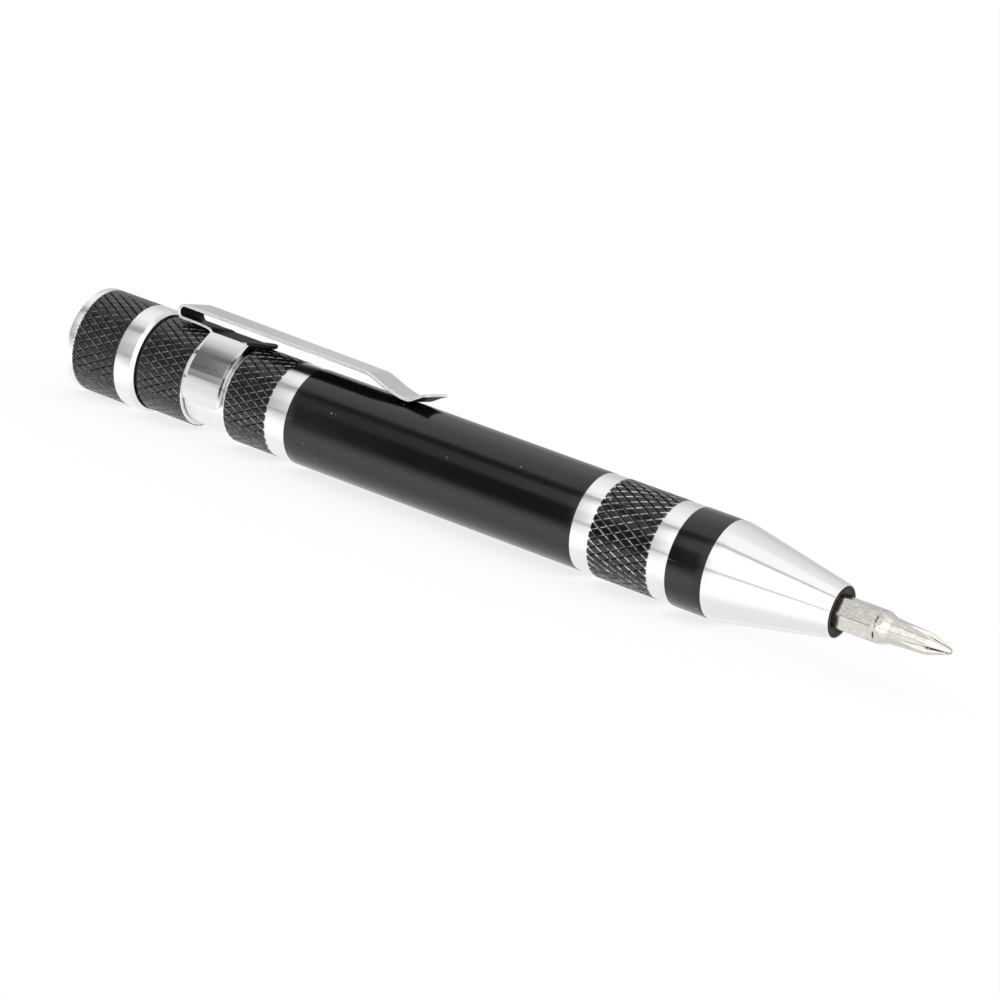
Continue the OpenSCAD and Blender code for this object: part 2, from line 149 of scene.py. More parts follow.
class Nodes:
    """Short forms for building a material's nodes."""

    def __init__(self, mat):
        self.tree = mat.node_tree
        self.shader = self.tree.nodes.get("Principled BSDF")
        self.coordinates = None

    def add(self, kind, **values):
        node = self.tree.nodes.new(kind)
        for name, value in values.items():
            setattr(node, name, value)
        return node

    def feed(self, socket, value):
        """Links a socket to another node's output, or sets its own value."""
        if isinstance(value, bpy.types.NodeSocket):
            self.tree.links.new(value, socket)
        else:
            socket.default_value = value

    def put(self, node, **values):
        for name, value in values.items():
            self.feed(node.inputs[name.replace("_", " ")], value)
        return node

    def place(self):
        """The object's own coordinates."""
        if self.coordinates is None:
            self.coordinates = self.add("ShaderNodeTexCoord").outputs["Object"]
        return self.coordinates

    def along(self):
        """The place along the pen's axis."""
        xyz = self.add("ShaderNodeSeparateXYZ")
        self.feed(xyz.inputs[0], self.place())
        return xyz.outputs["X"]

    def attribute(self, name):
        return self.add("ShaderNodeAttribute", attribute_name=name).outputs["Fac"]

    def math(self, operation, a, b=0.0, clamp=False):
        node = self.add("ShaderNodeMath", operation=operation, use_clamp=clamp)
        self.feed(node.inputs[0], a)
        self.feed(node.inputs[1], b)
        return node.outputs[0]

    def noise(self, scale, detail=3.0, rough=0.55, stretch=(1, 1, 1), turn=(0, 0, 0)):
        mapping = self.add("ShaderNodeMapping")
        self.put(mapping, Vector=self.place(), Rotation=turn, Scale=stretch)
        node = self.add("ShaderNodeTexNoise")
        self.put(node, Vector=mapping.outputs[0], Scale=scale, Detail=detail, Roughness=rough)
        return node.outputs["Fac"]

    def rings(self, scale, detail=2.0):
        """Fine lines round the axis, as a lathe leaves them."""
        node = self.add("ShaderNodeTexNoise", noise_dimensions="1D")
        self.put(node, W=self.along(), Scale=scale, Detail=detail, Roughness=0.7)
        return node.outputs["Fac"]

    def spread(self, value, low, high, first=0.0, last=1.0):
        """Values from low to high become values from first to last."""
        node = self.add("ShaderNodeMapRange")
        self.put(node, Value=value, From_Min=low, From_Max=high, To_Min=first, To_Max=last)
        return node.outputs[0]

    def mix(self, share, a, b):
        """A mix of two colours."""
        node = self.add("ShaderNodeMix", data_type="RGBA")
        for socket, value in ((0, share), (6, a), (7, b)):
            self.feed(node.inputs[socket], value)
        return node.outputs[2]

    def mix_shaders(self, share, a, b):
        node = self.add("ShaderNodeMixShader")
        for socket, value in enumerate((share, a, b)):
            self.feed(node.inputs[socket], value)
        return node.outputs[0]

    def bump(self, *layers):
        """Layers of a height and its depth in metres, each laid on the one before."""
        last = None
        for height, depth in layers:
            node = self.add("ShaderNodeBump")
            self.put(node, Height=height, Distance=depth, Strength=1.0)
            if last is not None:
                self.feed(node.inputs["Normal"], last)
            last = node.outputs[0]
        self.feed(self.shader.inputs["Normal"], last)


def black_anodised(name):
    rough = 0.15
    mat = material(name, (0.005, 0.005, 0.0055), rough, 0.0)
    nodes = Nodes(mat)
    grain = nodes.noise(7000, detail=2.0, rough=0.7)
    cloud = nodes.noise(260, detail=4.0)
    dust = nodes.spread(nodes.noise(1100, detail=1.0, rough=0.4), 0.79, 0.83)
    patches = nodes.spread(nodes.noise(1500, detail=3.0), 0.4, 0.62, 0.1, 1.0)
    edges = nodes.spread(nodes.add("ShaderNodeNewGeometry").outputs["Pointiness"], 0.53, 0.6)
    wear = nodes.math("MULTIPLY", edges, patches, clamp=True)
    # the front-facing walls of the knurl's grooves are pale, shiny metal in uneven patches, and the
    # front knurl's walls the most
    wall = nodes.spread(nodes.attribute("wall"), 0.6, 0.8)
    uneven = nodes.spread(nodes.noise(900, detail=2.0), 0.38, 0.6, 0.2, 1.0)
    frontwards = nodes.spread(nodes.along(), -0.122, -0.05, 0.42, 1.0)
    wall = nodes.math("MULTIPLY", wall, uneven, clamp=True)
    wall = nodes.math("MULTIPLY", wall, frontwards, clamp=True)
    base = nodes.mix(dust, (0.004, 0.004, 0.0045, 1), (0.3, 0.3, 0.3, 1))
    base = nodes.mix(wear, base, (0.16, 0.16, 0.165, 1))
    base = nodes.mix(wall, base, (0.48, 0.48, 0.485, 1))
    cloudy = nodes.spread(cloud, 0.3, 0.7, rough - 0.02, rough + 0.03)
    grainy = nodes.spread(grain, 0.3, 0.7, -0.03, 0.04)
    nodes.put(nodes.shader, Base_Color=base, Metallic=nodes.math("MULTIPLY", wall, 0.85),
              Roughness=nodes.math("ADD", cloudy, grainy))
    nodes.bump((grain, 0.000005), (nodes.rings(15000), 0.0000006))
    return mat


def turned(name, colour=(0.935, 0.935, 0.94)):
    """Bright metal from the lathe, with its highlights drawn out across the turning lines."""
    rough = 0.3
    mat = material(name, colour, rough, 1.0)
    nodes = Nodes(mat)
    lines = nodes.rings(26000, detail=3.0)
    cloud = nodes.noise(900, detail=3.0, rough=0.6, stretch=(3, 1, 1))
    tangent = nodes.add("ShaderNodeTangent", direction_type="RADIAL", axis="X")
    base = nodes.mix(nodes.spread(lines, 0.35, 0.65), opaque(colour), opaque(colour, 0.95))
    nodes.put(nodes.shader, Base_Color=base,
              Roughness=nodes.spread(cloud, 0.3, 0.7, rough - 0.015, rough + 0.02),
              Tangent=tangent.outputs[0], Anisotropic=1.0, Anisotropic_Rotation=0.25)
    nodes.bump((lines, 0.0000012), (nodes.noise(4000, detail=2.0), 0.0000004))
    return mat


def chrome(name):
    """Mirror chrome. Shade and dark reflections are painted where one attribute is 1, as a dark
    colour without metal, and a highlight is painted on its cut edges where cut is 1, as paler,
    duller metal.
    """
    mat = material(name, CHROME, 0.06, 1.0)
    nodes = Nodes(mat)
    hair = nodes.noise(500, detail=3.0, rough=0.6, stretch=(0.6, 8, 8))
    smudge = nodes.noise(140, detail=4.0)
    painted_dark = nodes.attribute("painted_shade")
    cut = nodes.attribute("cut")
    # metal only where no shade is painted
    bare = nodes.math("SUBTRACT", 1.0, painted_dark)
    # a highlight is painted on the cut edges, and shade and dark reflections where the sheet is
    # painted dark
    base = nodes.mix(cut, opaque(CHROME), (0.95, 0.95, 0.955, 1))
    base = nodes.mix(painted_dark, base, (0.024, 0.024, 0.026, 1))
    smudged = nodes.spread(smudge, 0.35, 0.7, 0.05, 0.11)
    scratched = nodes.spread(hair, 0.6, 0.75, 0.0, 0.08)
    duller = nodes.math("MULTIPLY", nodes.math("ADD", cut, painted_dark), 0.3)
    nodes.put(nodes.shader, Base_Color=base, Metallic=bare,
              Specular_IOR_Level=nodes.spread(bare, 0.0, 1.0, 0.02, 0.5),
              Roughness=nodes.math("ADD", nodes.math("ADD", smudged, scratched), duller))
    nodes.bump((smudge, 0.000006), (hair, 0.0000006))
    return mat


def bit_metal(name):
    """Satin steel with grinding lines and pits, with shade painted in its flutes near the point and
    in the groove at its neck, and dark lines along the hexagon's corners, where one attribute is 1.
    """
    mat = material(name, (0.74, 0.72, 0.67), 0.2, 1.0)
    nodes = Nodes(mat)
    cloud = nodes.noise(1500, detail=4.0)
    pits = nodes.spread(nodes.noise(3800, detail=2.0, rough=0.6), 0.66, 0.74)
    lines = nodes.noise(1100, detail=2.0, rough=0.6, stretch=(0.7, 1, 6), turn=(0, 0.75, 0))
    uneven = nodes.spread(nodes.noise(2500, detail=2.0), 0.3, 0.5, 0.5, 1.0)
    painted_shade_and_lines = nodes.math("MULTIPLY", nodes.attribute("painted_shade_and_lines"), uneven, clamp=True)
    base = nodes.mix(nodes.spread(cloud, 0.35, 0.65), (0.80, 0.78, 0.73, 1), (0.69, 0.665, 0.61, 1))
    base = nodes.mix(pits, base, (0.42, 0.40, 0.36, 1))
    base = nodes.mix(nodes.spread(lines, 0.42, 0.62, 0.0, 0.3), base, (0.36, 0.345, 0.32, 1))
    base = nodes.mix(painted_shade_and_lines, base, (0.02, 0.018, 0.015, 1))
    nodes.put(nodes.shader, Base_Color=base, Roughness=nodes.spread(cloud, 0.3, 0.7, 0.13, 0.24))
    dents = nodes.noise(3000, detail=3.0, rough=0.6)
    nodes.bump((dents, 0.000012), (lines, 0.000005), (nodes.rings(9000), 0.000003))
    return mat


def matte(name, colour, rough, grain_scale, depth, gloss=0.5):
    mat = material(name, colour, rough, 0.0)
    nodes = Nodes(mat)
    grain = nodes.noise(grain_scale, detail=3.0)
    cloud = nodes.noise(400, detail=3.0)
    base = nodes.mix(nodes.spread(grain, 0.3, 0.7), opaque(colour), opaque(colour, 1.35))
    nodes.put(nodes.shader, Base_Color=base, Specular_IOR_Level=gloss,
              Roughness=nodes.spread(cloud, 0.3, 0.7, rough - 0.07, rough + 0.07))
    nodes.bump((grain, depth))
    return mat


MATERIALS = {
    "black_anodised": black_anodised("black_anodised"),
    "bright_aluminium": turned("bright_aluminium"),
    "black_plastic": matte("black_plastic", (0.006, 0.006, 0.0065), 0.3, 3000, 0.000006, 0.12),
    "magnet": turned("magnet_nickel", (0.5, 0.5, 0.5)),
    "bit_steel": bit_metal("bit_steel"),
    "chrome_clip": chrome("chrome_clip"),
    "black_rubber": matte("black_rubber", (0.018, 0.018, 0.018), 0.7, 2500, 0.00002),
    "carrier_plastic": matte("carrier_plastic", (0.05, 0.05, 0.055), 0.4, 2000, 0.00001),
}


# Meshes

def angles_round(count):
    return 2 * math.pi * np.arange(count) / count


ROUND = angles_round(BARREL_STARTS * PER_START)     # the angles of a plain turned piece
ROUNDING_STEPS = 3
PINHOLE = 0.02          # a disc has this inner radius, because a lathe leaves its axis open


def ring(x, radius, theta=ROUND):
    """A closed row of points at x, with one radius or one for each angle."""
    radius = np.broadcast_to(np.asarray(radius, float), theta.shape)
    x = np.broadcast_to(np.asarray(x, float), theta.shape)
    return np.stack([x, radius * np.sin(theta), -radius * np.cos(theta)], 1)


def add_object(name, verts, faces, mat):
    mesh = bpy.data.meshes.new(name)
    mesh.from_pydata(verts, [], faces)
    mesh.materials.append(mat)
    ob = bpy.data.objects.new(name, mesh)
    bpy.context.scene.collection.objects.link(ob)
    return ob


def add_piece(name, verts, faces, slot, angle):
    """A closed piece from points in millimetres, with its faces turned outwards. Edges that bend
    by more than the angle stay sharp."""
    ob = add_object(name, (np.asarray(verts) * MM).tolist(), faces, MATERIALS[slot])
    mesh = ob.data
    mesh.validate()
    build = bmesh.new()
    build.from_mesh(mesh)
    if build.calc_volume(signed=True) < 0:
        bmesh.ops.reverse_faces(build, faces=build.faces[:])
        build.to_mesh(mesh)
    build.free()
    for face in mesh.polygons:
        face.use_smooth = True
    mesh.set_sharp_from_angle(angle=math.radians(angle))
    return ob


def store(mesh, name, values):
    """Keeps a value for each point, which a material reads by its name."""
    layer = mesh.attributes.new(name, "FLOAT", "POINT")
    layer.data.foreach_set("value", np.asarray(values, np.float32))


def wrap(name, rows, slot, loop=True, splits=None, angle=30):
    """A skin over closed rows of points. With loop the last row joins the first, and without it
    fans to their centres close the two ends. splits tells how the quads after a row are cut."""
    rows = [np.asarray(row, float) for row in rows]
    row_count = len(rows)
    length = len(rows[0])
    splits = splits or {}
    verts = np.concatenate(rows)
    faces = []
    for i in range(row_count if loop else row_count - 1):
        here = i * length
        beyond = (i + 1) % row_count * length
        split = splits.get(i)
        for j in range(length):
            k = (j + 1) % length
            quad = (here + j, here + k, beyond + k, beyond + j)
            if split is None:
                faces.append(quad)
            elif split[j]:
                faces += [(quad[0], quad[1], quad[2]), (quad[0], quad[2], quad[3])]
            else:
                faces += [(quad[0], quad[1], quad[3]), (quad[1], quad[2], quad[3])]
    if not loop:
        verts = np.concatenate([verts, [rows[0].mean(0)], [rows[-1].mean(0)]])
        last = (row_count - 1) * length
        centre = row_count * length
        for j in range(length):
            k = (j + 1) % length
            faces.append((j, centre, k))
            faces.append((last + j, last + k, centre + 1))
    return add_piece(name, verts, faces, slot, angle)


def rounded(profile, rounding):
    """A closed profile of places and radii, with each corner rounded."""
    out = []
    for i, corner in enumerate(profile):
        p = np.array(corner, float)
        before = np.array(profile[i - 1], float) - p
        after = np.array(profile[(i + 1) % len(profile)], float) - p
        before_length = np.linalg.norm(before)
        after_length = np.linalg.norm(after)
        cut = min(rounding, 0.4 * before_length, 0.4 * after_length)
        straight = abs(np.dot(before, after) / (before_length * after_length)) > 0.999
        if cut < 1e-4 or straight:
            out.append(p)
            continue
        start = p + before / before_length * cut
        end = p + after / after_length * cut
        for t in np.linspace(0, 1, ROUNDING_STEPS + 1):
            out.append((1 - t) ** 2 * start + 2 * t * (1 - t) * p + t * t * end)
    return out


def lathe(name, profile, slot, rounding, angle=30):
    return wrap(name, [ring(x, r) for x, r in rounded(profile, rounding)], slot, angle=angle)


def collar(name, front, back, inner, outer, slot, rounding, angle=30):
    """A plain turned ring, or a disc where its inner radius is a pinhole."""
    profile = [(front, inner), (front, outer), (back, outer), (back, inner)]
    return lathe(name, profile, slot, rounding, angle)


def from_nearest(index):
    """How many columns a place is from the middle of the nearest groove."""
    return np.minimum(index, PER_START - index)


def knurl_rows(front, back, radius, phase, theta):
    """Rows of crossing grooves that leave flat diamonds, from front to back. With them, how each
    quad is cut, and how far each point lies in a groove's front-facing wall."""
    count = max(2, int(round(abs(back - front) / KNURL_LEAD * PER_START)))
    shift = int(round(phase * PER_START))
    columns = np.arange(len(theta))
    rows = []
    splits = []
    walls = []
    for i, x in enumerate(np.linspace(front, back, count + 1)):
        u = (i + shift + columns) % PER_START
        v = (i + shift - columns) % PER_START
        depth_u = np.take(GROOVE_SHARES, from_nearest(u))
        depth_v = SECOND_SHARE * np.take(GROOVE_SHARES, from_nearest(v))
        rows.append(ring(x, radius - KNURL_DEPTH * np.maximum(depth_u, depth_v), theta))
        wall_u = np.take(WALL_SHARES, u)
        wall_v = np.take(WALL_SHARES, v)
        even = np.where(depth_v > depth_u, wall_v, np.maximum(wall_u, wall_v))
        walls.append(np.where(depth_u > depth_v, wall_u, even))
        splits.append(from_nearest((u + 1) % PER_START) > from_nearest(v))
    return rows, splits[:-1], walls


def knurled(name, stretches, slot, starts):
    """A turned piece made of stretches, each a point of its profile or a knurl."""
    theta = angles_round(starts * PER_START)
    rows = []
    splits = {}
    walls = []
    for stretch in stretches:
        if stretch[0] == "knurl":
            new_rows, new_splits, new_walls = knurl_rows(*stretch[1:], theta)
            for i, split in enumerate(new_splits):
                splits[len(rows) + i] = split
            rows += new_rows
            walls += new_walls
        else:
            rows.append(ring(*stretch, theta))
            walls.append(np.zeros(len(theta)))
    ob = wrap(name, rows, slot, splits=splits, angle=25)
    store(ob.data, "wall", np.concatenate(walls))
    return ob


# Barrel

UNDER_BAND = 6.25       # the black surface goes on below a band at this radius
LAP = 0.01              # and ends this far past the band's edge
BORE_ROWS = (-100.0, -60.0)     # these only divide the long wall of the bore
# the rounded edge of the black surface at a band: ahead of the band, and down from the tube
BLACK_EDGE = ((0.09, 0.0), (0.02, 0.01), (-0.01, 0.04))
THREAD_STEP = 0.5       # from one ring of the thread to the next
THREAD_RINGS = 13
THREAD_DEPTH = 0.28
THREAD_RIDGE = 0.13
THREAD_FLANK = 0.12


def down_to_band(x):
    edge = [(x + ahead, TUBE - down) for ahead, down in BLACK_EDGE]
    return edge + [(x - LAP, UNDER_BAND)]


def up_from_band(x):
    edge = [(x - ahead, TUBE - down) for ahead, down in BLACK_EDGE[::-1]]
    return [(x + LAP, UNDER_BAND)] + edge


thread = []
for k in range(THREAD_RINGS):
    x = SHOULDER - THREAD_STEP * (k + 1)
    thread.append((x, THREAD))
    thread.append((x - THREAD_RIDGE, THREAD))
    thread.append((x - THREAD_RIDGE - THREAD_FLANK, THREAD - THREAD_DEPTH))
    thread.append((x - THREAD_RIDGE - 2 * THREAD_FLANK, THREAD - THREAD_DEPTH))

barrel = knurled("barrel_black", [
    (CONE_END - 0.02, BORE),
    (CONE_END - 0.02, TUBE - 0.06),
    (CONE_END - 0.07, TUBE - 0.01),
    (CONE_END - 0.15, TUBE),
    (CONE_END - 1.55, TUBE),
    (CONE_END - 3.05, TUBE),
    *down_to_band(FRONT_BAND),
    (FRONT_KNURL + LAP, UNDER_BAND),
    ("knurl", FRONT_KNURL + LAP, MIDDLE_BAND - LAP, TUBE, 0.0),
    (MIDDLE_BAND - LAP, UNDER_BAND),
    *up_from_band(PLAIN_TUBE),
    *[(x, TUBE) for x in np.linspace(PLAIN_TUBE - 1.73, REAR_BAND + 1.43, 24)],
    *down_to_band(REAR_BAND),
    (FORE_KNURL + LAP, UNDER_BAND),
    ("knurl", FORE_KNURL + LAP, GROOVE, TUBE, 0.4),
    (GROOVE - 0.02, GROOVE_FLOOR - 0.15),
    (AFT_KNURL - 0.1, GROOVE_FLOOR - 0.15),
    ("knurl", AFT_KNURL - 0.12, SHOULDER + 0.05, TUBE, 0.9),
    (SHOULDER + 0.02, THREAD + 0.3),
    (SHOULDER, THREAD + 0.2),
    (SHOULDER, THREAD),
    *thread,
    (THREAD_END + 0.4, THREAD - 0.18),
    (THREAD_END + 0.07, THREAD - 0.3),
    (THREAD_END, THREAD - 0.38),
    (THREAD_END, BORE + 0.08),
    (THREAD_END + 0.07, BORE),
    *[(x, BORE) for x in BORE_ROWS],
], "black_anodised", BARREL_STARTS)
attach(barrel, "barrel")
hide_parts("barrel")

BAND_THICK = 0.35
BAND_ANGLE = 40
for tag, front, back in (
        ("front", FRONT_BAND, FRONT_KNURL),
        ("middle", MIDDLE_BAND, PLAIN_TUBE),
        ("rear", REAR_BAND, FORE_KNURL)):
    ob = collar("band_" + tag, front, back, BAND - BAND_THICK, BAND, "bright_aluminium",
                rounding=0.03, angle=BAND_ANGLE)
    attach(ob, "barrel")

# the turned edge of a band bites into the pits of the knurl next to it
BITE = TUBE - 0.095
BITE_LENGTH = 0.32
BITE_THICK = 0.205
for tag, front in (
        ("front", FRONT_KNURL + 0.09),
        ("middle", MIDDLE_BAND + 0.21),
        ("rear", FORE_KNURL + 0.1)):
    back = front - BITE_LENGTH
    ob = collar("bite_" + tag, front, back, BITE - BITE_THICK, BITE, "bright_aluminium",
                rounding=0.02, angle=BAND_ANGLE)
    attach(ob, "barrel")

# the bare floor of the clip's groove with its front wall, and the edge of its rear wall
GROOVE_INSIDE = GROOVE_FLOOR - 0.25
for tag, profile in (
        ("floor", [
            (GROOVE - 0.02, GROOVE_INSIDE), (GROOVE - 0.02, TUBE - 0.06),
            (GROOVE - 0.32, GROOVE_FLOOR + 0.3), (GROOVE - 0.36, GROOVE_FLOOR),
            (AFT_KNURL + 0.18, GROOVE_FLOOR), (AFT_KNURL + 0.18, GROOVE_INSIDE)]),
        ("wall", [
            (AFT_KNURL, GROOVE_INSIDE), (AFT_KNURL, TUBE - 0.25),
            (AFT_KNURL - 0.1, TUBE - 0.12), (AFT_KNURL - 0.13, TUBE - 0.12),
            (AFT_KNURL - 0.13, GROOVE_INSIDE)])):
    ob = lathe("groove_" + tag, profile, "bright_aluminium", rounding=0.02)
    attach(ob, "barrel")


# Nose

flank = math.atan((TUBE - MOUTH_RADIUS) / (CONE_LENGTH - CONE_ROUND))
arc = CONE_ROUND / math.tan(flank / 2)
cone = []
for a in np.linspace(0, flank, 9):
    cone.append((CONE_END + arc * math.sin(a), TUBE - arc * (1 - math.cos(a))))
for x in np.linspace(cone[-1][0] + 0.6, MOUTH - 0.4, 14):
    cone.append((x, MOUTH_RADIUS + (MOUTH - x) * math.tan(flank)))
plug = [(PLUG_END, 4.8), (PLUG_END + 0.28, BORE - 0.01), (CONE_END, BORE - 0.01)]
mouth = [
    (MOUTH - 0.1, 3.47), (MOUTH - 0.02, 3.45), (MOUTH, 3.42), (MOUTH, 3.34), (MOUTH - 0.04, 3.31),
    (MOUTH - 0.2, NOSE_BORE), (NOSE_BOTTOM, NOSE_BORE)]
nose = wrap("nose_bright", [ring(x, r) for x, r in plug + cone + mouth], "bright_aluminium",
            loop=False)
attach(nose, "barrel")
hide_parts("nose_cone")


def from_flat(theta):
    """The angle from the middle of a hexagon's nearest flat, with one flat at angle 0."""
    return np.mod(theta + math.pi / 6, math.pi / 3) - math.pi / 6


def hexagon(flats, theta=ROUND, soften=0.0):
    """A hexagon's radius at each angle, with its corners cut down by soften."""
    return np.minimum(flats / 2 / np.cos(from_flat(theta)), flats / math.sqrt(3) - soften)


hole = hexagon(HOLE_FLATS)
SOCKET_END = NOSE_BOTTOM + 0.01
HOLE_MIDDLE = -22.0     # this row only divides the long wall of the hole
socket_outside = [(SOCKET_END, SOCKET)]
socket_outside += [(x, SOCKET) for x in np.linspace(SOCKET_END + 1.06, MOUTH - 0.25, 12)]
socket_front = [
    (MOUTH - 0.08, 3.28), (MOUTH - 0.01, 3.22), (MOUTH, 3.15), (MOUTH, 2.75), (MOUTH - 0.02, 2.68)]
socket_hole = [
    (MOUTH - 0.3, hole + 0.02), (MOUTH - 0.4, hole), (HOLE_MIDDLE, hole),
    (SOCKET_END, hole)]
socket = wrap("socket_black", [ring(x, r) for x, r in socket_outside + socket_front + socket_hole],
              "black_plastic")
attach(socket, "barrel")
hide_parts("bit_socket")

magnet = collar("magnet", MAGNET_FRONT, MAGNET_BACK, PINHOLE, MAGNET_RADIUS, "magnet",
                rounding=0.12)
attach(magnet, "barrel")
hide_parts("socket_magnet")

seal = collar("seal", SHOULDER - 0.01, CAP_FRONT + 0.05, THREAD + 0.01, THREAD + 0.46,
              "black_rubber", rounding=0.08)
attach(seal, "barrel")
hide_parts("cap_seal")

pad = collar("pad", PAD_FRONT, PAD_BACK, PINHOLE, PAD_RADIUS, "black_rubber", rounding=0.1)
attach(pad, "pad")
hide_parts("cap_pad")


# Cap

CAP_LIP = 6.6           # the black surface goes on below the cap's band at this radius
CAP_EDGE_ROUND = 0.45
cap = knurled("cap_black", [
    (CAP_KNURL + 0.03, CAP_LIP + 0.1),
    ("knurl", CAP_KNURL + 0.01, CAP_RING - 0.01, CAP, 0.3),
    (CAP_RING - 0.01, CAP_LIP + 0.1),
    (CAP_END + 0.4, CAP_LIP),
    (CAP_END + 0.4, 3.0),
    (CAP_INSIDE - 0.01, 3.0),
    (CAP_INSIDE, PAD_RADIUS),
    (CAP_INSIDE + 0.05, CAP_BORE - 0.02),
    (CAP_INSIDE + 0.3, CAP_BORE),
    (-127.5, CAP_BORE),
    (CAP_FRONT - 0.2, CAP_BORE),
    (CAP_FRONT - 0.03, CAP_BORE + 0.02),
    (CAP_FRONT, CAP_BORE + 0.07),
    (CAP_FRONT, CAP_LIP - 0.04),
    (CAP_FRONT - 0.02, CAP_LIP),
    (CAP_FRONT - 0.3, CAP_LIP),
], "black_anodised", CAP_STARTS)
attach(cap, "cap")
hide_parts("rear_cap")

cap_band = lathe("cap_band", [
    (CAP_FRONT - 0.01, 6.5),
    (CAP_FRONT - 0.01, 6.64),
    (CAP_BAND, CAP - 0.01),
    (CAP_KNURL, CAP - 0.01),
    (CAP_KNURL, 6.5),
], "bright_aluminium", rounding=0.04)
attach(cap_band, "cap")

rounding = CAP_END + CAP_EDGE_ROUND
end = [
    (CAP_RING, 6.5), (CAP_RING, CAP - 0.07), (CAP_RING - 0.04, CAP - 0.02), (CAP_RING - 0.11, CAP),
    (rounding, CAP)]
for a in np.linspace(0, math.pi / 2, 7):
    end.append((rounding - CAP_EDGE_ROUND * math.sin(a),
                CAP - CAP_EDGE_ROUND * (1 - math.cos(a))))
end += [(CAP_END, r) for r in (6.0, 4.5, 3.0, 1.5, 0.5)]
cap_end = wrap("cap_end", [ring(x, r) for x, r in end], "bright_aluminium", loop=False)
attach(cap_end, "cap")


# Bit in use

BIT_ROUND = angles_round(480)
WING = 0.44             # thickness of a wing of the cross
WING_TURN = 68
FLUTE_LENGTH = 7.4
FLUTE_DARK = -3.4       # shade is painted in the flutes from here to the point
BLADE_ROOT = 1.67
BLADE_START = -8.0
POINT_START = -3.0
NECK = -9.9
outline = [
    (BIT_END, 1.96), (BIT_END + 0.35, 2.31), (NECK - 0.05, 2.31), (NECK, 2.24), (NECK + 0.12, 2.16),
    (NECK + 0.24, 2.16), (NECK + 0.36, 2.24), (NECK + 0.42, 2.3), (BLADE_START, BLADE_ROOT),
    (POINT_START, 1.38), (-0.12, 0.40), (-0.03, 0.33), (0.0, 0.22)]
outline_x = [x for x, _ in outline]
outline_radius = [r for _, r in outline]
row_places = set(outline_x)
row_places |= set(np.linspace(BIT_END + 1, NECK - 0.3, 8))
row_places |= set(np.round(np.arange(NECK + 0.5, 0, 0.06), 3))

core = WING / math.sqrt(2)
core_slope = (BLADE_ROOT - core) / FLUTE_LENGTH
# the angles from the middle of the nearest flute, and of the nearest flat
to_flute = np.abs(np.mod(BIT_ROUND - math.radians(WING_TURN), math.pi / 2) - math.pi / 4)
to_flat = np.abs(from_flat(BIT_ROUND))
nothing = np.zeros(len(BIT_ROUND))
rows = []
painted_shade_and_lines = []
for x in sorted(row_places):
    body = np.minimum(hexagon(BIT_FLATS, BIT_ROUND, 0.06), np.interp(x, outline_x, outline_radius))
    root = core - core_slope * x
    flutes = root / np.maximum(np.cos(to_flute) - np.sin(to_flute), 1e-3)
    # a small round at the bottom of the flute
    flutes = np.where(to_flute < 0.25, np.maximum(flutes, root * 1.06), flutes)
    rows.append(ring(x, np.minimum(body, flutes), BIT_ROUND))
    # shade is painted in the flutes near the point and in the neck's groove, where the step casts
    # its shadow, and a dark line along the hexagon's corners
    in_flute = np.clip(1.6 - to_flute / 0.13, 0, 1) * min(max((x - FLUTE_DARK) / 0.6, 0), 1)
    in_neck = np.where(to_flat < 0.2, 1.0, 0.15) if NECK + 0.02 < x < NECK + 0.3 else nothing
    on_corner = np.where(to_flat > math.pi / 6 - 0.02, 0.55, 0.0) if x < NECK else nothing
    painted_shade_and_lines.append(np.maximum(np.maximum(in_flute, in_neck), on_corner))
bit = wrap("bit_cross", rows, "bit_steel", loop=False, angle=28)
store(bit.data, "painted_shade_and_lines", np.concatenate(painted_shade_and_lines + [[0.0, 0.0]]))
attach(bit, "bit")
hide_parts("bit_cross_0")


# Clip

CORNER_POINTS = 8
FLAT_POINTS = 10
SECTION_POINTS = 4 * CORNER_POINTS + 2 * FLAT_POINTS


def smooth_path(points, step):
    """A smooth curve through the points, as x and z, with points about step apart."""
    p = np.array(points, float)
    known = np.vstack([2 * p[0] - p[1], p, 2 * p[-1] - p[-2]])
    out = []
    for i in range(1, len(known) - 2):
        a, b, c, d = known[i - 1:i + 3]
        t1 = np.linalg.norm(b - a) ** 0.5
        t2 = t1 + np.linalg.norm(c - b) ** 0.5
        t3 = t2 + np.linalg.norm(d - c) ** 0.5
        count = max(2, int(math.ceil(np.linalg.norm(c - b) / step)))
        for t in np.linspace(t1, t2, count, endpoint=False):
            a1 = (t1 - t) / t1 * a + t / t1 * b
            a2 = (t2 - t) / (t2 - t1) * b + (t - t1) / (t2 - t1) * c
            a3 = (t3 - t) / (t3 - t2) * c + (t - t2) / (t3 - t2) * d
            b1 = (t2 - t) / t2 * a1 + t / t2 * a2
            b2 = (t3 - t) / (t3 - t1) * a2 + (t - t1) / (t3 - t1) * a3
            out.append((t2 - t) / (t2 - t1) * b1 + (t - t1) / (t2 - t1) * b2)
    out.append(p[-1])
    return np.array(out)


def section(half, thick, edge):
    """A ribbon's rounded cross-section: across, and up from its bottom."""
    inner = half - edge
    out = []
    for side, height, start in (
            (1, edge, -90), (1, thick - edge, 0), (-1, thick - edge, 90), (-1, edge, 180)):
        for a in np.radians(np.linspace(start, start + 90, CORNER_POINTS)):
            out.append((side * inner + edge * math.cos(a), height + edge * math.sin(a)))
        if start in (0, 180):
            level = thick if start == 0 else 0.0
            for share in np.linspace(1, -1, FLAT_POINTS + 2)[1:-1]:
                out.append((side * share * inner, level))
    return out


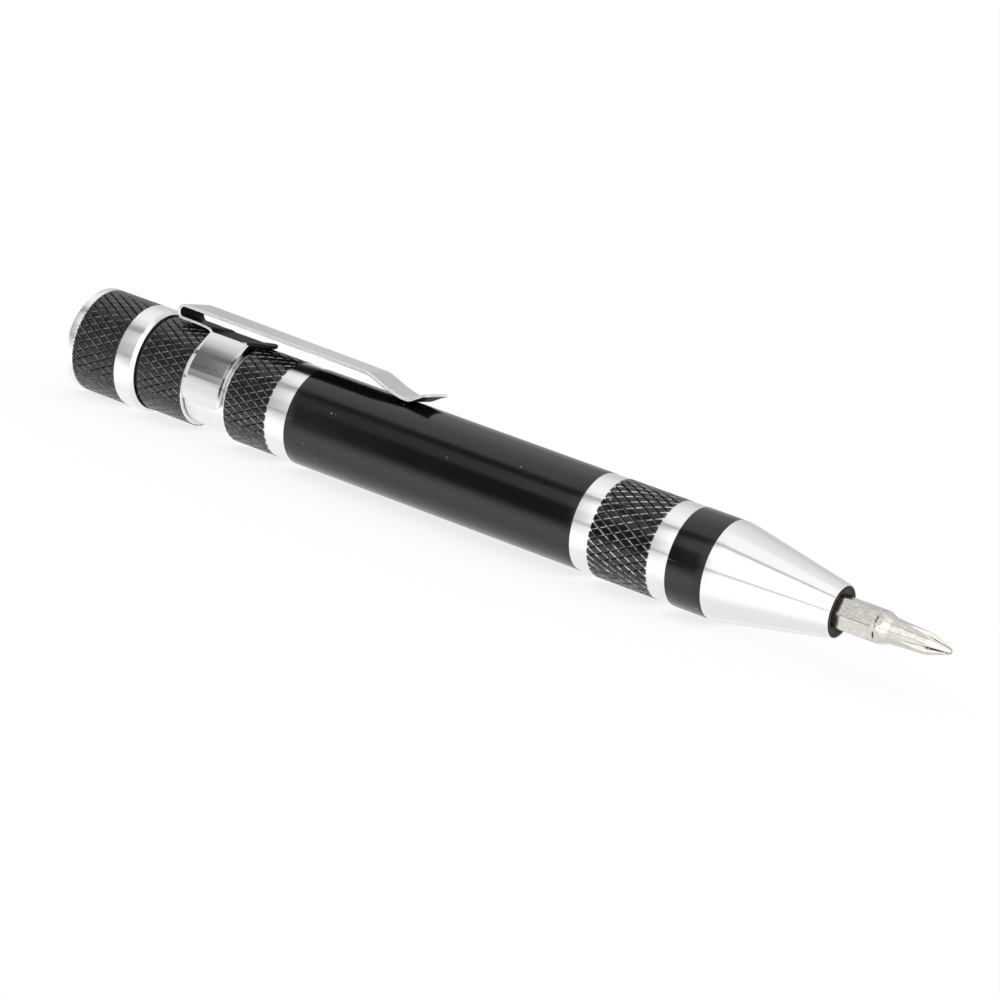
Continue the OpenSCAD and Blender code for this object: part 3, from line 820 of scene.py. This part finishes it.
def ribbon(path, side, halves, thick, edge):
    """Rows of a ribbon along a path. side gives the direction across, and halves its half width
    at each point."""
    side = np.broadcast_to(side, path.shape)
    tangent = np.gradient(path, axis=0)
    tangent /= np.linalg.norm(tangent, axis=1)[:, None]
    normal = np.cross(side, tangent)
    normal /= np.linalg.norm(normal, axis=1)[:, None]
    rows = []
    for i, p in enumerate(path):
        corner = min(edge, 0.45 * thick, 0.8 * halves[i])
        shape = section(halves[i], thick, corner)
        rows.append(np.array([p + side[i] * a + normal[i] * up for a, up in shape]))
    return rows


# the spring sheet: its path runs along the lower side of the tongue and the leg, and past the
# bend along the upper side of the arm and the lip. The pairs are points as x and z, or shares of
# the way along and of the way up or down
TONGUE_ROUND = 1.9
tongue = [
    (-104.2, 6.57), (-105.2, 6.56), (-105.6, 6.53), (-106.1, 6.45), (-106.7, 6.34), (-107.3, 6.22),
    (-107.9, 6.12), (-108.6, 6.03), (-109.4, 5.97), (-110.4, STRAP_INNER)]
leg = [(STRAP_BACK + (BEND - STRAP_BACK) * p, STRAP_INNER + (LEG_LOW - STRAP_INNER) * s)
       for p, s in ((-0.2, 0), (-0.12, 0.03), (0, 0.42), (0.1, 0.77), (0.2, 0.87), (0.39, 0.95),
                    (0.64, 1), (1, 1))]
bend = [(BEND - BEND_RADIUS * math.sin(a), LEG_LOW + BEND_RADIUS * (1 - math.cos(a)))
        for a in np.linspace(0, math.pi, 33)][1:]
arm = [(BEND + 0.5, ARM_TOP), (-112.0, 8.835), (-100, 8.716), (-89.5, 8.611)]
DROP_LENGTH = 7.1
ARM_END_TOP = 8.60
drop = [(TOUCH - DROP_LENGTH * (1 - p), ARM_END_TOP + (TOUCH_TOP - ARM_END_TOP) * s)
        for p, s in ((0.06, 0.03), (0.17, 0.14), (0.44, 0.54), (0.59, 0.73), (0.78, 0.92),
                     (0.92, 1))]
LIP_LENGTH = 2.8
LIP_RISE = 1.42
lip = [(TOUCH + LIP_LENGTH * p, TOUCH_TOP + LIP_RISE * s)
       for p, s in ((0.08, 0.02), (0.23, 0.16), (0.46, 0.45), (0.73, 0.79), (0.96, 0.97))]

under = smooth_path(tongue + leg, 0.06)
upper = smooth_path(arm + drop + lip, 0.12)
outer = np.concatenate([under, np.array(bend), upper])
path = np.stack([outer[:, 0], np.zeros(len(outer)), outer[:, 1]], 1)
first = len(under)
last = first + len(bend)

# the leg leans away from the eye and the arm doesn't, so the sheet twists in the step up to the
# leg and again in the bend
lean_places = (111.9, 112.4, 112.85, 113.4, 114.3)
lean_degrees = (0, 1.5, 3.2, 4.2, 5)
lean = np.radians(np.interp(-path[:, 0], lean_places, lean_degrees))
lean[first:last] *= np.linspace(1, 0, len(bend))
lean[last:] = 0
across = np.stack([np.zeros(len(path)), np.cos(lean), -np.sin(lean)], 1)
path[:, 2] -= CLIP_HALF * np.sin(lean)

halves = np.full(len(path), CLIP_HALF)
halves[last:] = np.interp(path[last:, 0], (-116, -80), (CLIP_HALF, CLIP_TIP_HALF))
for i in range(first):
    from_tip = path[0][0] - path[i][0]
    if from_tip < TONGUE_ROUND:
        circle = math.sqrt(1 - (1 - from_tip / TONGUE_ROUND) ** 2)
        halves[i] = max(0.1, CLIP_HALF * circle)
clip = wrap("clip_sheet", ribbon(path, across, halves, SHEET, 0.2), "chrome_clip", loop=False)

# shade and dark reflections are painted on the inner side of the folded sheet, and on the front of
# the tongue all round
PAINTED_SHADE_FROM = -106.4
painted_shade = []
for i, p in enumerate(path):
    dark = i < first and p[0] > PAINTED_SHADE_FROM
    for _, up in section(CLIP_HALF, SHEET, 0.2):
        painted_shade.append(1.0 if dark or up > 0.9 * SHEET else 0.0)
store(clip.data, "painted_shade", painted_shade + [1.0, 0.0])
# a highlight is painted on the sheet's cut edges, as paler, duller metal
cut = [1.0 if abs(a) > CLIP_HALF - 0.15 else 0.0 for a, _ in section(CLIP_HALF, SHEET, 0.2)]
store(clip.data, "cut", cut * len(path) + [1.0, 1.0])

# the strap: an open ring in the groove, whose sides rise on a flatter curve to two corners with
# a flat top between them
STRAP_END = 114         # this and the next two are degrees from +Z
CURVE_START = 60
CORNER = 40.9
FLATTER_RADIUS = 13.1
STRAP_ROUND = 1.1
STRAP_FRONT_EDGE = -106.06
STRAP_REAR_EDGE = -112.42
strap_half = (STRAP_FRONT_EDGE - STRAP_REAR_EDGE) / 2
half_arc = [(STRAP_OUTER * math.sin(a), STRAP_OUTER * math.cos(a))
            for a in np.radians(np.linspace(STRAP_END, CURVE_START, 50))]
start_y, start_z = half_arc[-1]
start = math.radians(CURVE_START)
for a in np.radians(np.linspace(CURVE_START, CORNER, 19))[1:]:
    half_arc.append((start_y - FLATTER_RADIUS * (math.sin(start) - math.sin(a)),
                     start_z + FLATTER_RADIUS * (math.cos(a) - math.cos(start))))
top_y, top_z = half_arc[-1]
flat_top = [(y, top_z) for y in np.linspace(top_y - 0.12, 0.12 - top_y, 12)]
other_side = [(-y, z) for y, z in half_arc[::-1]]
middle = (STRAP_FRONT_EDGE + STRAP_REAR_EDGE) / 2
strap_path = np.array([(middle, y, z) for y, z in half_arc + flat_top + other_side], float)
steps = np.linalg.norm(np.diff(strap_path, axis=0), axis=1)
lengths = np.concatenate([[0], np.cumsum(steps)])
strap_halves = []
for length in lengths:
    from_end = min(length, lengths[-1] - length, STRAP_ROUND)
    circle = math.sqrt(max(0.0, STRAP_ROUND ** 2 - (STRAP_ROUND - from_end) ** 2))
    strap_halves.append(strap_half - STRAP_ROUND + circle)
strap = wrap("clip_strap",
             ribbon(strap_path, np.array([1.0, 0.0, 0.0]), strap_halves, STRAP_THICK, 0.06),
             "chrome_clip", loop=False)
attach(strap, "clip")
# shade and the arm's dark reflection are painted on the strap's flat top, which lies under the arm
painted_shade = []
for _, y, z in strap_path:
    on_top = abs(y) < top_y - 0.05 and z > 6
    painted_shade += [1.0 if on_top else 0.0] * SECTION_POINTS
store(strap.data, "painted_shade", painted_shade + [0.0, 0.0])
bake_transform(clip)
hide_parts("clip_band", "clip_arm")


# Carrier and stored bits

for name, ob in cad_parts.items():
    if ob.hide_render:
        continue
    slot = "carrier_plastic" if name == "bit_carrier" else "bit_steel"
    ob.data.materials.clear()
    ob.data.materials.append(MATERIALS[slot])
    bevel = ob.modifiers.new("edges", "BEVEL")
    bevel.width = 0.06 * MM
    bevel.segments = 2
    bevel.limit_method = "ANGLE"
    bevel.angle_limit = math.radians(30)


# Floor and world

WHITE = (1, 1, 1, 1)
PALE = (0.86, 0.86, 0.86, 1)
FLOOR_HALF = 6.0        # in metres


def stage_material(name):
    mat = bpy.data.materials.new(name)
    mat.use_nodes = True
    mat.node_tree.nodes.clear()
    mat.cycles.emission_sampling = "NONE"
    nodes = Nodes(mat)
    return mat, nodes, nodes.add("ShaderNodeOutputMaterial").inputs["Surface"]


# the floor is white to the camera, with the pen's soft shadow, white in the metal's reflections,
# and pale to all other light
floor_material, nodes, surface = stage_material("floor")
ray = nodes.add("ShaderNodeLightPath").outputs
pale = nodes.put(nodes.add("ShaderNodeBsdfDiffuse"), Color=PALE).outputs[0]
white = nodes.put(nodes.add("ShaderNodeBsdfDiffuse"), Color=WHITE).outputs[0]
glow = nodes.put(nodes.add("ShaderNodeEmission"), Color=WHITE, Strength=1.0).outputs[0]
seen = nodes.mix_shaders(ray["Is Camera Ray"], pale, nodes.mix_shaders(0.8, white, glow))
shiny = nodes.math("MAXIMUM", ray["Is Glossy Ray"], ray["Is Transmission Ray"])
nodes.feed(surface, nodes.mix_shaders(shiny, seen, glow))
corners = [(-1, -1), (1, -1), (1, 1), (-1, 1)]
floor = add_object("floor", [(x * FLOOR_HALF, y * FLOOR_HALF, 0) for x, y in corners],
                   [(0, 1, 2, 3)], floor_material)
floor.location = (0, 0, -(CAP + 0.02) * MM)
floor.visible_glossy = False

world = bpy.data.worlds.new("world")
world.use_nodes = True
world.node_tree.nodes["Background"].inputs["Color"].default_value = WHITE
world.node_tree.nodes["Background"].inputs["Strength"].default_value = 1.0
bpy.context.scene.world = world


# Tent

# A tent of pale and dark cloth round the pen, seen only in its reflections. Its brightness goes
# by place along X, in metres, and by the angle about the pen's axis, from -Y up to +Z and over.
# A table pairs angles in degrees with the brightness there. OPEN is the table for most places,
# barrel_part the one where the barrel mirrors the tent, and STRAP_PART where the strap does.
TENT_RADIUS = 0.3
FAR_AWAY = 9
OPEN = (
    (-180, 0.66), (-155, 0.7), (-130, 1.0), (-60, 1.02), (-30, 1.05), (-5.2, 1.05), (-4.4, 0.05),
    (-1.6, 0.05), (-0.8, 1.1), (52.5, 1.1), (54, 0.12), (58, 0.12), (59.5, 0.98), (120, 0.98),
    (140, 0.66), (180, 0.64))
STRAP_PART = (
    (-180, 0.66), (-155, 0.7), (-130, 1.2), (-36, 1.25), (-25, 1.1), (-9, 1.07), (-3, 0.98),
    (1, 0.9), (4, 0.45), (8, 0.3), (13, 0.4), (18, 0.4), (21, 0.15), (30, 0.13), (36, 0.19),
    (48, 0.19), (57, 0.21), (63, 0.33), (70, 0.75), (81, 1.1), (92, 1.2), (125, 1.1), (140, 0.62),
    (180, 0.6))


def barrel_part(slit):
    """The table where the barrel mirrors the tent, with the brightness of its pale slit."""
    return (
        (-180, 1.0), (-75, 1.0), (-60, 1.2), (-45, 1.5), (-36, 1.4), (-27, 0.98), (-20, 0.4),
        (-14, 0.1), (0, 0.1), (20, 0.11), (25, slit), (45, slit), (48, 0.16), (61, 0.16),
        (64, 0.8), (72, 1.1), (180, 1.1))


def look_up(table, angle):
    return float(np.interp(angle, [a for a, _ in table], [b for _, b in table]))


def between(value, low, high, soft):
    """1 from low to high, and 0 outside, with soft edges."""
    return min(max((value - low) / soft, 0), 1) * min(max((high - value) / soft, 0), 1)


tent_angles = np.arange(-180, 180.01, 0.5)
tent_places = np.concatenate([
    np.linspace(-2.4, -0.42, 9), np.arange(-0.40, -0.119, 0.008), np.linspace(-0.1, 2.4, 13)])
verts = []
shade = []
for x in tent_places:
    strength = float(np.interp(x, (-0.9, -0.42, -0.1, 0.15, 0.5), (1.9, 1.1, 1.0, 1.25, 1.6)))
    slit = float(np.interp(x, (-0.29, -0.222, -0.205, -0.18), (0.45, 0.58, 1.05, 1.1)))
    rearwards = between(x, -FAR_AWAY, -0.36, 0.06)
    frontwards = between(x, -0.14, FAR_AWAY, 0.06)
    past_barrel = between(x, -0.14, FAR_AWAY, 0.03)
    by_barrel = between(x, -0.292, -0.15, 0.012)
    by_strap = between(x, -0.335, -0.290, 0.008)
    barrel_table = barrel_part(slit)
    for degrees in tent_angles:
        a = math.radians(degrees)
        verts.append((x, -TENT_RADIUS * math.cos(a), TENT_RADIUS * math.sin(a)))
        facing = between(degrees, -25, 100, 10)
        bright = look_up(OPEN, degrees) * strength
        bright *= 1 - 0.9 * facing * rearwards + 0.35 * facing * frontwards
        mirrored = look_up(barrel_table, degrees)
        if degrees > -20 or degrees < -130:
            mirrored = min(bright, mirrored)
        bright = bright * (1 - by_barrel) + mirrored * by_barrel
        low = between(degrees, -130, -55, 15) * past_barrel
        high = between(degrees, 58, 130, 6) * past_barrel
        bright *= 1 - 0.2 * low - 0.2 * high
        bright = bright * (1 - by_strap) + look_up(STRAP_PART, degrees) * by_strap
        shade.append(bright)
count = len(tent_angles)
faces = []
for i in range(len(tent_places) - 1):
    for j in range(count - 1):
        k = i * count + j
        faces.append((k, k + 1, k + count + 1, k + count))
tent_material, nodes, surface = stage_material("tent")
cloth = nodes.put(nodes.add("ShaderNodeEmission"), Strength=nodes.attribute("shade"))
nodes.feed(surface, cloth.outputs[0])
tent = add_object("tent", verts, faces, tent_material)
store(tent.data, "shade", shade)
tent.visible_camera = False
tent.visible_diffuse = False
tent.visible_shadow = False


# Camera

CAMERA_PLACE = (0.18633, -0.44385, 0.08857)     # in metres
YAW = 29.5373                                   # degrees to the left of +Y
ELEVATION = 10.038                              # degrees that it looks down
ROLL = 14.7105                                  # degrees that it leans to the left

lens = bpy.data.cameras.new("camera")
lens.lens = 146.744
lens.sensor_width = 36
lens.clip_start = 0.01
lens.clip_end = 50
camera = bpy.data.objects.new("camera", lens)
camera.matrix_world = (
    Matrix.Translation(CAMERA_PLACE)
    @ Matrix.Rotation(math.radians(YAW), 4, "Z")
    @ Matrix.Rotation(math.radians(90 - ELEVATION), 4, "X")
    @ Matrix.Rotation(math.radians(ROLL), 4, "Z"))
bpy.context.scene.collection.objects.link(camera)
bpy.context.scene.camera = camera
bpy.context.scene.view_settings.view_transform = "Standard"
